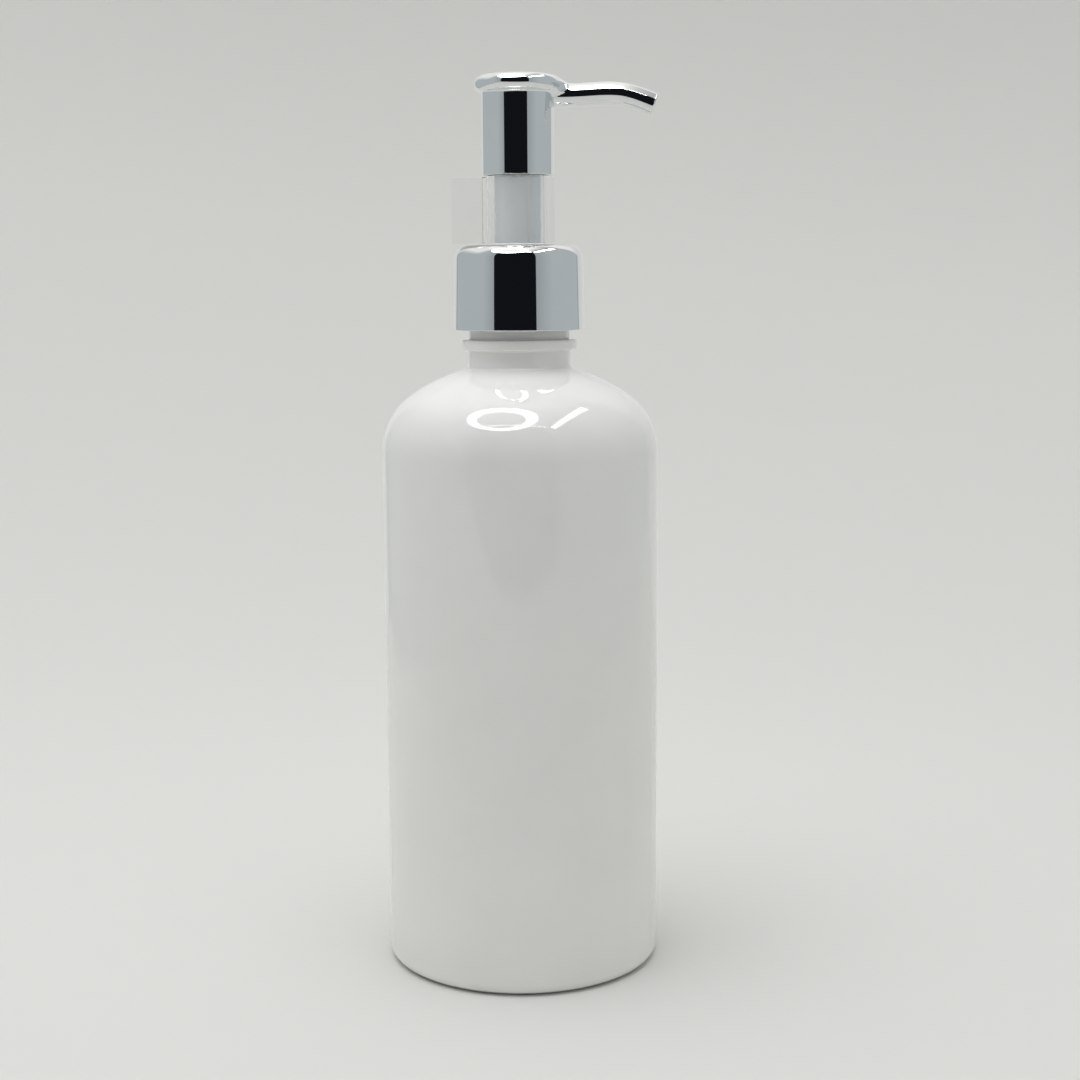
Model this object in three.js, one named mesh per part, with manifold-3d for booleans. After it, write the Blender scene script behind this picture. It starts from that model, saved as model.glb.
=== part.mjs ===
// A shampoo bottle with a screw-on lotion pump and a snap-on clip that locks the pump.
// Millimetres. +Z is up, the bottle stands on z = 0 with its axis at the origin, and the spout
// points along +X.
import * as THREE from "three";
import { mergeVertices } from "three/addons/utils/BufferGeometryUtils.js";
import Module from "manifold-3d";

// Sides of a full circle.
const SHELL_SIDES = 48;
const INNER_SIDES = 24;
const TUBE_SIDES = 16;

// Bottle: a straight body under a rounded shoulder and a 24 mm threaded neck.
const BODY_RADIUS = 30;
const WALL = 1.1;
const BASE_WALL = 1.3;
const BASE_CORNER = 2.4;
const FOOT_RADIUS = 21;
const PUSH_UP = 3.2;
const SHOULDER = { z: 113, radius: 14.8, turn: 54, upperRadius: 37 };
const NECK_RADIUS = 11.15;
const NECK_FILLET = 0.8;
const NECK_BORE = 9.2;
const BEAD = { radius: 12.55, bottom: 135, top: 137.2, chamfer: 0.25 };
const FINISH_RADIUS = 10.87;
const RIM_Z = 151.3;
const RIM_EDGE = 0.4;

// Screw thread shared by the neck and the closure.
const THREAD_PITCH = 3.175;
const THREAD_STEPS = 24;
const THREAD_FADE = 0.08;
const NECK_THREAD = {
  turns: 1.5,
  startZ: 143.2,
  inner: 10.6,
  outer: 11.95,
  innerWidth: 2.2,
  outerWidth: 1,
};
const CAP_THREAD = {
  turns: 1.25,
  startZ: 141.47,
  inner: 11.2,
  outer: 12.45,
  innerWidth: 0.7,
  outerWidth: 1.7,
};

// Closure: a threaded plastic cap inside a thin metal shell.
const SHELL = {
  bottom: 139.2,
  top: 157.2,
  lowerRadius: 14.15,
  upperRadius: 13.8,
  wall: 0.55,
  edge: 2.8,
  hole: 9.6,
};
const CAP = { bottom: 139.6, plate: 154.2, top: 156.4, bore: 12.2, radius: 13.2, hole: 8.7, edge: 2.2 };
const GASKET = { bottom: 151.4, top: 152.8, bore: 8.6, radius: 10.7 };

// Pump housing: cylinder, flange under the cap's plate, ball seat and dip-tube socket.
const CYLINDER = { bore: 6.3, radius: 7.3, floor: 108.6, top: 146 };
const COLLAR_SEAT = { bore: 7.4, radius: 8.4, top: 156.8 };
const FLANGE = { radius: 10.6, bottom: 152.9, top: 154.1 };
const BALL_RADIUS = 2.4;
const BALL_Z = 106.37;
const POCKET = { radius: 3.4, wall: 1.2, seatTop: 106.5, seatBottom: 104.6 };
const INLET_RADIUS = 1.7;
const SOCKET = { bore: 2.6, radius: 3.6, bottom: 92, top: 102 };
const VENT = { radius: 0.6, z: 149.5 };
const DIP_TUBE = { bore: 1.7, radius: 2.5, bottom: 7, top: 101.7, cutSlope: 40 };
const RETAINER = { bore: 3.6, radius: 6.15, bottom: 108.8, top: 112, barWidth: 1.2, barBottom: 110.7 };
const COLLAR = { bore: 5.35, radius: 7.3, bottom: 146.8, top: 157.5 };
const COLLAR_FLANGE = { radius: 9.4, bottom: 156.95 };

// Plunger: stem with its valve rod, the piston on it and the spring under it.
const STEM = { bore: 2.1, radius: 5.2, top: 178, spigotRadius: 3.9, spigotTop: 186.1, stopRadius: 6 };
const STEM_STOP = { bottom: 145.4, top: 146.6 };
const STEM_TAIL = { radius: 3.4, bottom: 138.8, portWidth: 1.6, portHeight: 1.2 };
const ROD = { guideRadius: 3.7, bottom: 130, discRadius: 5.2, discBottom: 137.2, top: 138.6, finTop: 149 };
const ROD_FIN = { width: 3.8, thickness: 1.1 };
const PISTON = { bore: 3.55, hub: 4.5, web: 5.5, waist: 5.95, lip: 6.2, bottom: 138.7, top: 144.3 };
const SPRING = { radius: 4.6, wire: 0.4, bottom: 112.05, top: 137.1, turns: 9.5, deadTurns: 1, steps: 114 };

// Actuator: metal head with its spout, and the plastic insert that joins it to the stem.
const HEAD = { radius: 7.7, bore: 6.85, bottom: 171.9, roof: 187, chamberRadius: 4, chamberTop: 190.2 };
const RIM_BEAD = { r: 7.5, z: 191, radius: 1.8 };
const CROWN_Z = 193;
const SPOUT_RADIUS = 2.45;
const SPOUT_BORE = 1.3;
const SPOUT_ROUTE = [
  [2.5, 188.65],
  [8, 188.65],
  [13.7, 188.8],
  [19, 189.05],
  [22.5, 188.8],
  [26, 187.8],
  [29.1, 186.6],
];
const SPOUT_STEPS = 18;
const INSERT = { radius: 6.7, bottom: 174.5, top: 186.9, stemBore: 5.35, stemDepth: 178.2, outlet: 2.2 };
const INSERT_SPIGOT = { bore: 4.05, top: 186.3 };

// Lock clip: an open ring between the closure and the head, with a finger tab at its back.
const CLIP = { radius: 7.7, bore: 6.5, bottom: 157.6, height: 14.1, mouth: 40 };
const CLIP_LIP = { x: 7.1, y: 5.2, radius: 0.6 };
const CLIP_RIB = { reach: 5.4, halfWidth: 0.5, sideAngle: 65 };
const CLIP_TAB = { reach: 14.3, halfThickness: 0.6 };

const wasm = await Module();
wasm.setup();

const { degToRad, lerp } = THREE.MathUtils;

// ---- geometry helpers ----

// Points of an arc about a centre, both ends included; angles in degrees.
function arc([x, y], radius, from, to, steps) {
  return Array.from({ length: steps + 1 }, (_, i) => {
    const angle = degToRad(lerp(from, to, i / steps));
    return [x + radius * Math.cos(angle), y + radius * Math.sin(angle)];
  });
}

// Angle in degrees at which a circle about a centre comes to a given distance from the axis.
function turnAt([x], radius, distance) {
  return THREE.MathUtils.radToDeg(Math.acos((distance - x) / radius));
}

// Revolves an outline of [radius, z] points that starts and ends on the axis.
function revolve(outline, sides = INNER_SIDES) {
  const points = outline.map(([r, z]) => new THREE.Vector2(r, z));
  return new THREE.LatheGeometry(points, sides).rotateX(Math.PI / 2);
}

// Revolves an outline that closes on itself, listed anticlockwise.
function revolveRing(outline, sides = INNER_SIDES) {
  return revolve([...outline, outline[0]], sides);
}

// A plain upright tube.
function sleeve(bore, radius, bottom, top, sides = INNER_SIDES) {
  return revolveRing([[bore, bottom], [radius, bottom], [radius, top], [bore, top]], sides);
}

// A box given by its size and its centre.
function block([sx, sy, sz], [x, y, z]) {
  return new THREE.BoxGeometry(sx, sy, sz).translate(x, y, z);
}

// A round bar along a curve.
function bar(curve, radius, steps, sides = TUBE_SIDES) {
  const section = new THREE.Shape().absarc(0, 0, radius, 0, 2 * Math.PI);
  const settings = { steps, curveSegments: sides / 2, extrudePath: curve };
  return new THREE.ExtrudeGeometry(section, settings);
}

// A geometry as a manifold-3d solid.
function solid(geometry) {
  const bare = geometry.clone();
  bare.deleteAttribute("normal");
  bare.deleteAttribute("uv");
  const merged = mergeVertices(bare, 1e-4);
  const mesh = new wasm.Mesh({
    numProp: 3,
    vertProperties: merged.attributes.position.array,
    triVerts: new Uint32Array(merged.index.array),
  });
  return new wasm.Manifold(mesh);
}

// A manifold-3d solid as a geometry.
function geometryOf(body) {
  const mesh = body.getMesh();
  const geometry = new THREE.BufferGeometry();
  geometry.setAttribute("position", new THREE.BufferAttribute(mesh.vertProperties, 3));
  geometry.setIndex(new THREE.BufferAttribute(mesh.triVerts, 1));
  geometry.computeVertexNormals();
  return geometry;
}

function join(...geometries) {
  return geometryOf(geometries.map(solid).reduce((a, b) => a.add(b)));
}

function cut(geometry, ...tools) {
  return geometryOf(tools.map(solid).reduce((a, b) => a.subtract(b), solid(geometry)));
}

// A box bent along a right-hand helix into a thread ridge, whose ends fade into the wall.
function threadRidge({ turns, startZ, inner, outer, innerWidth, outerWidth }) {
  const ridge = new THREE.BoxGeometry(1, 1, 1, Math.round(turns * THREAD_STEPS), 1, 1);
  const place = ridge.attributes.position;
  for (let i = 0; i < place.count; i++) {
    const along = place.getX(i) + 0.5;
    const out = place.getZ(i) + 0.5;
    const fade = Math.min(1, along / THREAD_FADE, (1 - along) / THREAD_FADE);
    const width = lerp(innerWidth, outerWidth, out) * lerp(0.3, 1, fade);
    const angle = 2 * Math.PI * turns * along;
    const radius = lerp(inner, outer, out);
    const z = startZ + THREAD_PITCH * turns * along + place.getY(i) * width;
    place.setXYZ(i, radius * Math.cos(angle), radius * Math.sin(angle), z);
  }
  return ridge;
}

// A compression spring's centre line: close end turns, and open turns of equal pitch between.
class SpringLine extends THREE.Curve {
  getPoint(t, target = new THREE.Vector3()) {
    const turn = t * SPRING.turns;
    const dead = SPRING.deadTurns;
    const closePitch = 2.1 * SPRING.wire;
    const low = SPRING.bottom + SPRING.wire;
    const height = SPRING.top - SPRING.bottom - 2 * SPRING.wire;
    const openPitch = (height - 2 * dead * closePitch) / (SPRING.turns - 2 * dead);
    const open = THREE.MathUtils.clamp(turn - dead, 0, SPRING.turns - 2 * dead);
    const z = low + closePitch * (turn - open) + openPitch * open;
    const angle = 2 * Math.PI * turn;
    return target.set(SPRING.radius * Math.cos(angle), SPRING.radius * Math.sin(angle), z);
  }
}

// ---- the pieces ----

function bottle() {
  const domeRadius = (FOOT_RADIUS ** 2 + PUSH_UP ** 2) / (2 * PUSH_UP);
  const domeCentre = [0, PUSH_UP - domeRadius];
  const domeEdge = turnAt(domeCentre, domeRadius, FOOT_RADIUS);
  const corner = [BODY_RADIUS - BASE_CORNER, BASE_CORNER];
  const lower = [BODY_RADIUS - SHOULDER.radius, SHOULDER.z];
  const upper = arc(lower, SHOULDER.radius - SHOULDER.upperRadius, 0, SHOULDER.turn, 1)[1];
  const filletReach = SHOULDER.upperRadius + NECK_FILLET;
  const filletTurn = turnAt(upper, filletReach, NECK_RADIUS + NECK_FILLET);
  const filletCentre = arc(upper, filletReach, 0, filletTurn, 1)[1];
  const boreTurn = turnAt(upper, SHOULDER.upperRadius - WALL, NECK_BORE);
  const innerCorner = BASE_CORNER - BASE_WALL / 2;
  const innerRadius = BODY_RADIUS - WALL;

  const outside = [
    ...arc(domeCentre, domeRadius, 90, domeEdge, 4),
    ...arc(corner, BASE_CORNER, -90, 0, 4),
    ...arc(lower, SHOULDER.radius, 0, SHOULDER.turn, 5),
    ...arc(upper, SHOULDER.upperRadius, SHOULDER.turn, filletTurn, 3).slice(1),
    ...arc(filletCentre, NECK_FILLET, 180 + filletTurn, 180, 2).slice(1),
    [NECK_RADIUS, BEAD.bottom],
    [BEAD.radius - BEAD.chamfer, BEAD.bottom],
    [BEAD.radius, BEAD.bottom + BEAD.chamfer],
    [BEAD.radius, BEAD.top - BEAD.chamfer],
    [BEAD.radius - BEAD.chamfer, BEAD.top],
    [FINISH_RADIUS, BEAD.top],
    [FINISH_RADIUS, RIM_Z - RIM_EDGE],
    [FINISH_RADIUS - RIM_EDGE, RIM_Z],
  ];
  const inside = [
    [NECK_BORE, RIM_Z],
    ...arc(upper, SHOULDER.upperRadius - WALL, boreTurn, SHOULDER.turn, 3),
    ...arc(lower, SHOULDER.radius - WALL, SHOULDER.turn, 0, 5).slice(1),
    ...arc([innerRadius - innerCorner, BASE_WALL + innerCorner], innerCorner, 0, -90, 3),
    ...arc(domeCentre, domeRadius + BASE_WALL, domeEdge, 90, 4),
  ];
  return join(revolve([...outside, ...inside], SHELL_SIDES), threadRidge(NECK_THREAD));
}

function closureShell() {
  const outerCentre = [SHELL.upperRadius - SHELL.edge, SHELL.top - SHELL.edge];
  const innerTop = SHELL.top - SHELL.wall;
  return revolveRing(
    [
      [SHELL.lowerRadius - SHELL.wall, SHELL.bottom],
      [SHELL.lowerRadius, SHELL.bottom],
      ...arc(outerCentre, SHELL.edge, 0, 90, 6),
      [SHELL.hole, SHELL.top],
      [SHELL.hole, innerTop],
      ...arc(outerCentre, SHELL.edge - SHELL.wall, 90, 0, 6),
    ],
    SHELL_SIDES,
  );
}

function closureCap() {
  const wall = revolveRing(
    [
      [CAP.bore, CAP.bottom],
      [CAP.radius, CAP.bottom],
      ...arc([CAP.radius - CAP.edge, CAP.top - CAP.edge], CAP.edge, 0, 90, 4),
      [CAP.hole, CAP.top],
      [CAP.hole, CAP.plate],
      [CAP.bore, CAP.plate],
    ],
    SHELL_SIDES,
  );
  return join(wall, threadRidge(CAP_THREAD));
}

function pumpHousing() {
  const pocketRadius = POCKET.radius + POCKET.wall;
  const barrel = revolveRing([
    [SOCKET.bore, SOCKET.bottom],
    [SOCKET.radius, SOCKET.bottom],
    [SOCKET.radius, SOCKET.top],
    [pocketRadius, POCKET.seatBottom],
    [pocketRadius, CYLINDER.floor - POCKET.wall],
    [CYLINDER.radius, CYLINDER.floor],
    [CYLINDER.radius, CYLINDER.top - 1],
    [COLLAR_SEAT.radius, CYLINDER.top],
    [COLLAR_SEAT.radius, FLANGE.bottom],
    [FLANGE.radius, FLANGE.bottom],
    [FLANGE.radius, FLANGE.top],
    [COLLAR_SEAT.radius, FLANGE.top],
    [COLLAR_SEAT.radius, COLLAR_SEAT.top],
    [COLLAR_SEAT.bore, COLLAR_SEAT.top],
    [COLLAR_SEAT.bore, CYLINDER.top],
    [CYLINDER.bore, CYLINDER.top],
    [CYLINDER.bore, CYLINDER.floor],
    [POCKET.radius, CYLINDER.floor],
    [POCKET.radius, POCKET.seatTop],
    [INLET_RADIUS, POCKET.seatBottom],
    [INLET_RADIUS, SOCKET.top],
    [SOCKET.bore, SOCKET.top],
  ]);
  const vent = new THREE.CylinderGeometry(VENT.radius, VENT.radius, 3, 12);
  vent.rotateZ(Math.PI / 2).translate((COLLAR_SEAT.bore + COLLAR_SEAT.radius) / 2, 0, VENT.z);
  return cut(barrel, vent);
}

function housingCollar() {
  return revolveRing([
    [COLLAR.bore, COLLAR.bottom],
    [COLLAR.radius, COLLAR.bottom],
    [COLLAR.radius, COLLAR_FLANGE.bottom],
    [COLLAR_FLANGE.radius, COLLAR_FLANGE.bottom],
    [COLLAR_FLANGE.radius, COLLAR.top],
    [COLLAR.bore, COLLAR.top],
  ]);
}

function ballRetainer() {
  const ring = sleeve(RETAINER.bore, RETAINER.radius, RETAINER.bottom, RETAINER.top);
  const length = 2 * RETAINER.bore + 1;
  const height = RETAINER.top - RETAINER.barBottom;
  const centre = [0, 0, RETAINER.barBottom + height / 2];
  const barX = block([length, RETAINER.barWidth, height], centre);
  const barY = block([RETAINER.barWidth, length, height], centre);
  return join(ring, barX, barY);
}

function dipTube() {
  const tube = sleeve(DIP_TUBE.bore, DIP_TUBE.radius, DIP_TUBE.bottom, DIP_TUBE.top);
  const size = 8 * DIP_TUBE.radius;
  const wedge = new THREE.BoxGeometry(size, size, size).translate(0, 0, -size / 2);
  wedge.rotateY(degToRad(DIP_TUBE.cutSlope));
  const rise = DIP_TUBE.radius * Math.tan(degToRad(DIP_TUBE.cutSlope));
  return cut(tube, wedge.translate(0, 0, DIP_TUBE.bottom + rise));
}

function stem() {
  const body = revolveRing([
    [STEM.bore, STEM_TAIL.bottom],
    [STEM_TAIL.radius, STEM_TAIL.bottom],
    [STEM_TAIL.radius, STEM_STOP.bottom],
    [STEM.stopRadius, STEM_STOP.bottom],
    [STEM.stopRadius, STEM_STOP.top],
    [STEM.radius, STEM_STOP.top],
    [STEM.radius, STEM.top],
    [STEM.spigotRadius, STEM.top],
    [STEM.spigotRadius, STEM.spigotTop],
    [STEM.bore, STEM.spigotTop],
  ]);
  const reach = 3 * STEM_TAIL.radius;
  const height = 2 * STEM_TAIL.portHeight;
  const portX = block([reach, STEM_TAIL.portWidth, height], [0, 0, STEM_TAIL.bottom]);
  const portY = block([STEM_TAIL.portWidth, reach, height], [0, 0, STEM_TAIL.bottom]);
  return cut(body, portX, portY);
}

function pistonRod() {
  const valve = revolve([
    [0, ROD.bottom],
    [ROD.guideRadius - 0.7, ROD.bottom],
    [ROD.guideRadius, ROD.bottom + 1.2],
    [ROD.guideRadius, ROD.discBottom],
    [ROD.discRadius, ROD.discBottom],
    [ROD.discRadius, ROD.top - 0.6],
    [ROD.discRadius - 0.6, ROD.top],
    [0, ROD.top],
  ]);
  const height = ROD.finTop - ROD.top + 0.4;
  const centre = [0, 0, ROD.finTop - height / 2];
  const finX = block([ROD_FIN.width, ROD_FIN.thickness, height], centre);
  const finY = block([ROD_FIN.thickness, ROD_FIN.width, height], centre);
  return join(valve, finX, finY);
}

// The piston's section is an H: a hub and a lipped skirt joined by a web.
function piston() {
  const middle = (PISTON.bottom + PISTON.top) / 2;
  const half = [
    [PISTON.hub, PISTON.bottom],
    [PISTON.hub, middle - 0.9],
    [PISTON.web, middle - 0.9],
    [PISTON.lip - 0.45, PISTON.bottom + 0.2],
    [PISTON.lip, PISTON.bottom + 0.2],
    [PISTON.lip, PISTON.bottom + 0.8],
    [PISTON.waist, PISTON.bottom + 1.7],
  ];
  const mirrored = half.map(([r, z]) => [r, 2 * middle - z]).reverse();
  return revolveRing([[PISTON.bore, PISTON.bottom], ...half, ...mirrored, [PISTON.bore, PISTON.top]]);
}

// The head is solid above its roof; the spout's bore opens into a chamber over the insert.
function actuatorHead() {
  const outside = revolve(
    [
      [0, HEAD.bottom],
      [HEAD.radius, HEAD.bottom],
      [HEAD.radius, RIM_BEAD.z - RIM_BEAD.radius - 0.3],
      ...arc([RIM_BEAD.r, RIM_BEAD.z], RIM_BEAD.radius, -75, 90, 9),
      [RIM_BEAD.r / 2, lerp(RIM_BEAD.z + RIM_BEAD.radius, CROWN_Z, 0.75)],
      [0, CROWN_Z],
    ],
    SHELL_SIDES,
  );
  const hollow = revolve(
    [
      [0, HEAD.bottom - 1],
      [HEAD.bore, HEAD.bottom - 1],
      [HEAD.bore, HEAD.roof],
      [HEAD.chamberRadius, HEAD.roof],
      [HEAD.chamberRadius, HEAD.chamberTop],
      [0, HEAD.chamberTop],
    ],
    SHELL_SIDES,
  );
  const route = SPOUT_ROUTE.map(([x, z]) => new THREE.Vector3(x, 0, z));
  const spout = bar(new THREE.CatmullRomCurve3(route), SPOUT_RADIUS, SPOUT_STEPS);
  const tip = route.at(-1);
  const beyond = tip.clone().add(tip.clone().sub(route.at(-2)).setLength(1));
  const bore = bar(new THREE.CatmullRomCurve3([...route, beyond]), SPOUT_BORE, SPOUT_STEPS);
  return cut(join(outside, spout), hollow, bore);
}

function actuatorInsert() {
  return revolveRing([
    [INSERT.stemBore, INSERT.bottom],
    [INSERT.radius, INSERT.bottom],
    [INSERT.radius, INSERT.top],
    [INSERT.outlet, INSERT.top],
    [INSERT.outlet, INSERT_SPIGOT.top],
    [INSERT_SPIGOT.bore, INSERT_SPIGOT.top],
    [INSERT_SPIGOT.bore, INSERT.stemDepth],
    [INSERT.stemBore, INSERT.stemDepth],
  ]);
}

// One side of the clip's outline, from its tab to its mouth and back to its inside rib.
function clipHalf() {
  const tabFoot = 180 - THREE.MathUtils.radToDeg(Math.asin(CLIP_TAB.halfThickness / CLIP.radius));
  const ribTurn = THREE.MathUtils.radToDeg(Math.asin(CLIP_RIB.halfWidth / CLIP.bore));
  const ribTip = THREE.MathUtils.radToDeg(Math.asin(CLIP_RIB.halfWidth / CLIP_RIB.reach));
  const side = CLIP_RIB.sideAngle;
  return [
    [-CLIP_TAB.reach, CLIP_TAB.halfThickness],
    ...arc([0, 0], CLIP.radius, tabFoot, CLIP.mouth, 14),
    ...arc([CLIP_LIP.x, CLIP_LIP.y], CLIP_LIP.radius, 110, -70, 4),
    ...arc([0, 0], CLIP.bore, CLIP.mouth - 2, side - ribTurn, 3),
    ...arc([0, 0], CLIP_RIB.reach, side - ribTip, side + ribTip, 1),
    ...arc([0, 0], CLIP.bore, side + ribTurn, 180 - ribTurn, 9),
    [-CLIP_RIB.reach, CLIP_RIB.halfWidth],
  ];
}

function lockClip() {
  const half = clipHalf();
  const mirrored = half.map(([x, y]) => [x, -y]).reverse();
  const outline = [...half, ...mirrored].map(([x, y]) => new THREE.Vector2(x, y));
  const settings = { depth: CLIP.height, bevelEnabled: false };
  return new THREE.ExtrudeGeometry(new THREE.Shape(outline), settings).translate(0, 0, CLIP.bottom);
}

// ---- the assembly ----

const finish = (color, roughness, metalness = 0, opacity = 1) =>
  new THREE.MeshStandardMaterial({ color, roughness, metalness, opacity, transparent: opacity < 1 });

const greyBottle = finish(0xbfbfbb, 0.25);
const chrome = finish(0xc8cbcd, 0.08, 1);
const whitePlastic = finish(0xe6e6e2, 0.4);
const naturalPlastic = finish(0xdcdcd4, 0.45);
const clearPlastic = finish(0xe9eeee, 0.1, 0, 0.35);
const steel = finish(0xb4b6b8, 0.25, 1);
const foam = finish(0xd8d6cf, 0.9);

const shampooBottle = new THREE.Group();

function addPiece(name, geometry, material) {
  const piece = new THREE.Mesh(geometry, material.clone());
  piece.name = name;
  shampooBottle.add(piece);
}

addPiece("bottle", bottle(), greyBottle);
addPiece("closure_shell", closureShell(), chrome);
addPiece("closure_cap", closureCap(), whitePlastic);
addPiece("neck_gasket", sleeve(GASKET.bore, GASKET.radius, GASKET.bottom, GASKET.top), foam);
addPiece("pump_housing", pumpHousing(), naturalPlastic);
addPiece("housing_collar", housingCollar(), whitePlastic);
addPiece("ball_retainer", ballRetainer(), naturalPlastic);
addPiece("inlet_ball", new THREE.SphereGeometry(BALL_RADIUS, 16, 10).translate(0, 0, BALL_Z), steel);
addPiece("dip_tube", dipTube(), naturalPlastic);
addPiece("stem", stem(), whitePlastic);
addPiece("piston_rod", pistonRod(), whitePlastic);
addPiece("piston", piston(), naturalPlastic);
addPiece("return_spring", bar(new SpringLine(), SPRING.wire, SPRING.steps, 6), steel);
addPiece("actuator_head", actuatorHead(), chrome);
addPiece("actuator_insert", actuatorInsert(), whitePlastic);
addPiece("lock_clip", lockClip(), clearPlastic);

export default shampooBottle;
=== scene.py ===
import math

import bpy
import numpy as np
from mathutils import Matrix, Vector


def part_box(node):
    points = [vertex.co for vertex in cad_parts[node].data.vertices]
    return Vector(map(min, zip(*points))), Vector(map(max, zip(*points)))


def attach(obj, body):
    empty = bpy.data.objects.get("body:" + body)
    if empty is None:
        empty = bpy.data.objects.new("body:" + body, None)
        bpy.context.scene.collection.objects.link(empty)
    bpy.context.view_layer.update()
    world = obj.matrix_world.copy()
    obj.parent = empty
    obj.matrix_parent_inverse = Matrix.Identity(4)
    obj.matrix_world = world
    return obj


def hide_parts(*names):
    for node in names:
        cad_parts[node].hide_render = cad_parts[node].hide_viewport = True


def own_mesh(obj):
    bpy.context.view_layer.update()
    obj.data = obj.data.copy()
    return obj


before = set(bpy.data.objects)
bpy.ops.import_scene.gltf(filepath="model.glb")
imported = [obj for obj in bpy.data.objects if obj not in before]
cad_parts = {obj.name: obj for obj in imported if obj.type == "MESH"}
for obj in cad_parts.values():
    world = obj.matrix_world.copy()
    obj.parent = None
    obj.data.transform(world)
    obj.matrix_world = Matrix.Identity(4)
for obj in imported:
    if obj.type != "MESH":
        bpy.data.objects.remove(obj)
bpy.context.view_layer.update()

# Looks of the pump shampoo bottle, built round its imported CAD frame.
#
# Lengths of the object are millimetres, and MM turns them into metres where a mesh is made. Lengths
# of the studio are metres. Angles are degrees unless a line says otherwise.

MM = 0.001

# Camera: its place, its pitch down from level and its roll in radians, its lens and its sensor.
CAMERA_PLACE = (4.22, -394.27, 149.5)
CAMERA_PITCH = math.radians(8.132)
CAMERA_ROLL = math.radians(-0.33)
CAMERA_LENS, CAMERA_SENSOR = 60.3, 36

# Sizes that the frame gives.
BODY_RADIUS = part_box("bottle")[1].x / MM
RIM_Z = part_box("bottle")[1].z / MM
SHELL_LOW, SHELL_HIGH = (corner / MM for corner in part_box("closure_shell"))
COLLAR_LOW, COLLAR_HIGH = (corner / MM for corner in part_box("housing_collar"))
STEM_LOW, STEM_HIGH = (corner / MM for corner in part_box("stem"))
HEAD_LOW, HEAD_HIGH = (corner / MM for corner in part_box("actuator_head"))
CLIP_LOW, CLIP_HIGH = (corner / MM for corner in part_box("lock_clip"))
CAP_LOW, CAP_HIGH = (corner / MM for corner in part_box("closure_cap"))
SPRING_LOW, SPRING_HIGH = (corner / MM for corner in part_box("return_spring"))

# Bottle profile.
WALL = 1.1
BASE_WALL = 1.3
BASE_CORNER = 2.4
FOOT_RADIUS = 21
PUSH_UP = 3.2
SHOULDER_Z = 113
SHOULDER_RADIUS = 14.8
SHOULDER_TURN = 54
UPPER_RADIUS = 37
NECK_RADIUS = 11.15
NECK_FILLET = 0.8
NECK_BORE = 9.2
NECK_EDGE = 0.45
BEAD_RADIUS, BEAD_BOTTOM, BEAD_TOP = 12.55, 135, 137.2
FINISH_RADIUS = 10.87

# Threads. The neck's ridge sinks into the wall at its ends; the cap's only gets thinner. Each end
# fades over THREAD_FADE of the length, down to THREAD_LEAST of the size, and the ridge's section,
# drawn one unit high and wide, has corners rounded by THREAD_ROUND.
THREAD_PITCH = 3.175
NECK_THREAD = dict(
    turns=1.5, start_z=143.2, inner=10.6, outer=11.95, widths=(2.2, 1.0), sinks=True,
)
CAP_THREAD = dict(
    turns=1.25, start_z=141.47, inner=11.2, outer=12.45, widths=(0.7, 1.7), sinks=False,
)
THREAD_FADE = 0.08
THREAD_LEAST = 0.3
THREAD_ROUND = 0.25

# Closure: the metal shell, and the threaded cap inside it.
SHELL_UPPER_RADIUS = 13.8
SHELL_WALL = 0.55
SHELL_EDGE = 2.8
SHELL_HOLE = 9.6
SHELL_LIP = 0.2
CAP_RADIUS, CAP_BORE, CAP_HOLE = 13.2, 12.2, 8.7
CAP_PLATE_Z = 154.2
CAP_EDGE = 2.2
CAP_LIP = 0.3

# Collar and stem.
COLLAR_RADIUS, COLLAR_BORE = 7.3, 5.35
COLLAR_FLANGE_RADIUS, COLLAR_FLANGE_Z = 9.4, 156.95
COLLAR_LIP = 0.18
STEM_RADIUS, STEM_BORE = 5.2, 2.1
STEM_FOOT_RADIUS = 3.4
STEM_STOP_RADIUS, STEM_STOP_LOW, STEM_STOP_HIGH = 6, 145.4, 146.6
STEM_NOSE_RADIUS, STEM_NOSE_Z = 3.9, 178
STEM_LIP = 0.2

# Head: a skirt under a rimmed disc, and a spout along a curve. The spout's root has a small fillet
# below and a large one above (ROOT_BLEND); the other blends are small.
SKIRT_RADIUS = 7.7
SKIRT_BORE = 6.85
SKIRT_EDGE = 0.12
RIM_DISC_RADIUS, RIM_DISC_Z, RIM_ROUND = 7.5, 191, 1.8
ROOF_Z = 187
CHAMBER_RADIUS, CHAMBER_TOP = 4, 190.2
SPOUT_RADIUS, SPOUT_BORE = 2.45, 1.3
SPOUT_X = np.array([2.5, 8, 13.7, 19, 22.5, 26, 29.1])
SPOUT_Z = np.array([188.65, 188.65, 188.8, 189.05, 188.8, 187.8, 186.6])
ROOT_BLEND = (0.8, 2.6)
RIM_BLEND, TIP_BLEND, HOLLOW_BLEND, BORE_BLEND = 0.5, 0.35, 0.15, 0.2
HEAD_GRID = 0.25

# Spring: the radii of its coil and its wire, its turns with the dead ones at each end, and the
# pitch of those in wire radii. PRESS_STROKE is how far it shortens.
SPRING_RADIUS, SPRING_WIRE = 4.6, 0.4
SPRING_TURNS, SPRING_DEAD = 9.5, 1
SPRING_CLOSE_PITCH = 2.1

# Clip.
CLIP_RADIUS, CLIP_BORE, CLIP_MOUTH = 7.7, 6.5, 40
CLIP_LIP_X, CLIP_LIP_Y, CLIP_LIP_ROUND = 7.1, 5.2, 0.6
CLIP_LIP_START, CLIP_LIP_STOP, CLIP_LIP_STEP = 110, -70, 2
CLIP_RIB_REACH, CLIP_RIB_HALF, CLIP_RIB_SIDE = 5.4, 0.5, 65
CLIP_TAB_REACH, CLIP_TAB_HALF = 14.3, 0.6
CLIP_EDGE = 0.14
CLIP_BEVEL_TURN, CLIP_SHARP_TURN = 50, 30

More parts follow.
